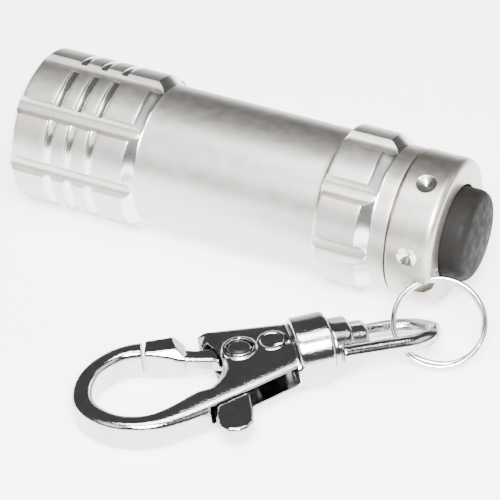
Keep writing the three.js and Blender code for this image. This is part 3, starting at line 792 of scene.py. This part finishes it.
# %% Eye field
HALF_EYE = 3.85
leg = [(3.4, HALF_EYE), (6, HALF_EYE), (9.5, 3.95), (12.8, 3.95), (15.3, 2.7), (16.6, 0.5)]
ARCH = curve(leg + [(s, -u) for s, u in leg[::-1]], 90)


def eye(s, u, v):
    """Shaft, head, collar and step about s, joined with the arch, whose legs end flat."""
    r = np.hypot(u, v)
    body = drum(s, r, -3.3, 4.0, 0.85, 0.02)
    body = melt(body, drum(s, r, -3.4, -2.5, 1.3, 0.15), 0.1)
    body = melt(body, drum(s, r, 2.3, 5.1, 3.63, 0.38), 0.1)
    body = melt(body, drum(s, r, 4.8, 7.4, 2.8, 0.42), 0.12)
    bar = np.hypot(to_line(s, u, ARCH, False), v) - 1.05
    bar = trim(bar, 3.1 - s, 0.25)
    return melt(body, bar, 0.15)


points, faces = skin(eye, (-3.8, -5.4, -4.0), (18.2, 5.4, 4.0), 0.14)
make(
    "eye_bar", placed(points, HOOK_O, EYE_S, EYE_U, EYE_V), faces, [chrome], "eye", ["swivel_eye"],
    None, 60,
)

# %% [markdown]
# ## Inner pieces keep their CAD shapes

# %% Materials of the kept nodes
kept = {
    "lens_oring": smooth_rubber, "cap_oring": smooth_rubber,
    "led_board": board, "driver_board": board,
    "front_contact_spring": brass, "tail_contact_spring": brass, "switch_retainer": brass,
    "cell_1": nickel, "cell_2": nickel, "cell_3": nickel, "cell_4": nickel,
    "battery_sleeve": moulded, "switch_housing": moulded, "switch_plunger": moulded,
    "switch_spring": wire_steel, "gate_spring": wire_steel,
}
for node, look in kept.items():
    held = frame["nodes"][node]
    if not held.material_slots:
        held.data.materials.append(look)
    for place in held.material_slots:
        place.material = look
print(len(kept), "nodes keep their shape")

# %% [markdown]
# ## Studio
# A pale floor that glows, so that shadows stay faint, four soft boxes and a dark room behind.
# The key lights the side towards the camera, the strip draws a bright line along the hook's bevel,
# and the other two fill in from the right and the front left. Polished tops look into the dark
# room, and sides look at the floor.

# %% Floor, lights and world
FLOOR_REACH, FLOOR_DROP, FLOOR_CELLS = 1.6, 0.00002, 8
lines = FLOOR_CELLS + 1
steps = np.linspace(-FLOOR_REACH, FLOOR_REACH, lines)
gx, gy = np.meshgrid(steps, steps, indexing="ij")
floor_points = np.stack([gx, gy, np.full(gx.shape, -FLOOR_DROP)], -1).reshape(-1, 3)
i, j = np.meshgrid(np.arange(FLOOR_CELLS), np.arange(FLOOR_CELLS), indexing="ij")
corner = i * lines + j
quads = np.stack([corner, corner + lines, corner + lines + 1, corner + 1], -1).reshape(-1, 4)
mesh = bpy.data.meshes.new("floor")
mesh.from_pydata(floor_points.tolist(), [], quads.tolist())
floor = bpy.data.objects.new("floor", mesh)
bpy.context.scene.collection.objects.link(floor)
paper = finish("pale floor", (0.82, 0.82, 0.82), 0.8, 0.0, 1500, 0.05, 0.00001, (0.99, 1.01))
paper_shader = paper.node_tree.nodes["Principled BSDF"]
paper_shader.inputs["Emission Color"].default_value = (1, 1, 1, 1)
paper_shader.inputs["Emission Strength"].default_value = 2.2
floor.data.materials.append(paper)

world = bpy.data.worlds.new("room")
bpy.context.scene.world = world
world.use_nodes = True
world.node_tree.nodes["Background"].inputs["Color"].default_value = (0.12, 0.12, 0.121, 1)
world.node_tree.nodes["Background"].inputs["Strength"].default_value = 1.0


def softbox(name, place, target, width, height, power):
    """A rectangular area light at place, facing target."""
    light = bpy.data.lights.new(name, "AREA")
    light.shape = "RECTANGLE"
    light.size, light.size_y = width, height
    light.energy = power
    lamp = bpy.data.objects.new(name, light)
    bpy.context.scene.collection.objects.link(lamp)
    lamp.location = place
    lamp.rotation_euler = (Vector(target) - Vector(place)).to_track_quat("-Z", "Y").to_euler()
    return lamp


softbox("key", (0.17, -0.34, 0.42), (0, 0, 0.01), 0.30, 0.20, 18.0)
softbox("strip", (0.02, -0.05, 0.42), (0, 0, 0), 0.34, 0.13, 2.6)
softbox("right", (0.42, 0.10, 0.28), (0, 0, 0.01), 0.5, 0.26, 0.9)
softbox("front left", (-0.21, -0.44, 0.35), (0, 0, 0.01), 0.34, 0.3, 0.9)

# %% Camera
AZIMUTH, ELEVATION = math.radians(25.378), math.radians(35.772)
camera = bpy.data.cameras.new("camera")
camera.lens, camera.sensor_width = 197.1, 36.0
camera.clip_start, camera.clip_end = 0.01, 20
eye_point = bpy.data.objects.new("camera", camera)
eye_point.location = (0.12493, -0.25241, 0.21439)
eye_point.rotation_euler = (math.pi / 2 - ELEVATION, 0, AZIMUTH)
bpy.context.scene.collection.objects.link(eye_point)
bpy.context.scene.camera = eye_point

# %% Update the view layer
bpy.context.view_layer.update()
